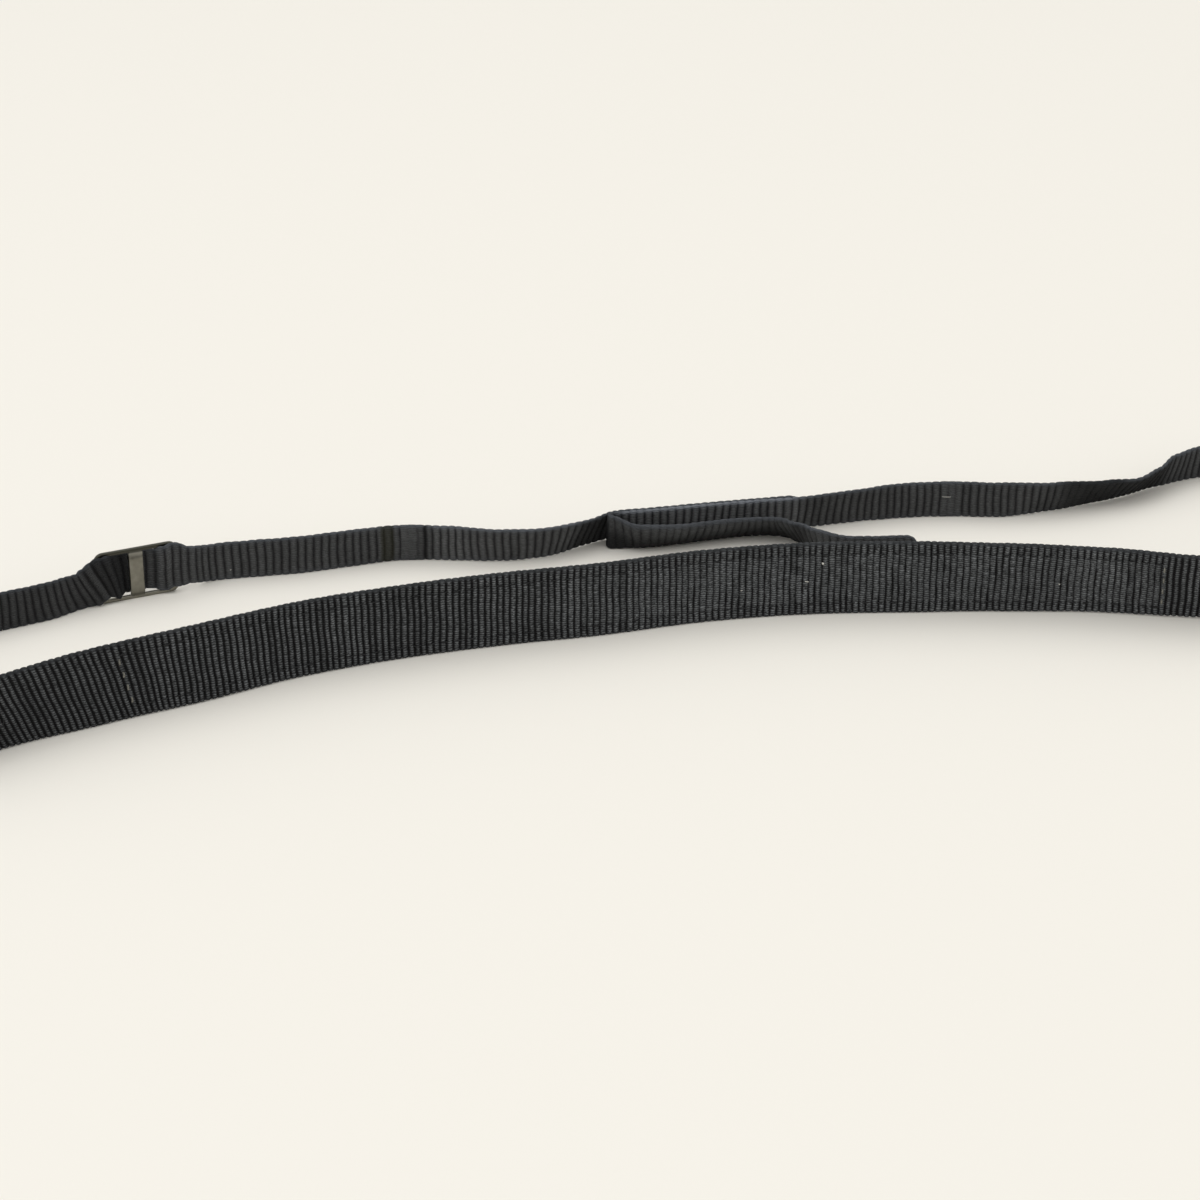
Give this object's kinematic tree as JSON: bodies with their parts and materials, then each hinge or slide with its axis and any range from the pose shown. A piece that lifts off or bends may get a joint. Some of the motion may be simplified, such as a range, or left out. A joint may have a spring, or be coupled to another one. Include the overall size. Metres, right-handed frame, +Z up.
{
  "type": "camera neck strap",
  "caption": "Ribbed black webbing neck strap with a wide neck web, a sewn backing strip and narrow tails with flat metal sliders.",
  "frame": {"origin": "on the table, under the middle of the whole strap's box", "axes": "+Z up from the table, +X along the neck web to the right, +Y from the neck web towards the tails behind it"},
  "size_m": [0.401, 0.171, 0.019],
  "materials": {
    "neck_webbing": "ribbed woven nylon, black",
    "backing_web": "plain soft woven nylon, black",
    "tail_webbing": "ribbed woven nylon, black",
    "slider_metal": "dull grey nickel plate"
  },
  "bodies": {
    "root": {"neck_web": "neck_webbing", "neck_backing": "backing_web", "left_tail": "tail_webbing", "right_tail": "tail_webbing", "left_slider": "slider_metal", "right_slider": "slider_metal"}
  },
  "joints": []
}
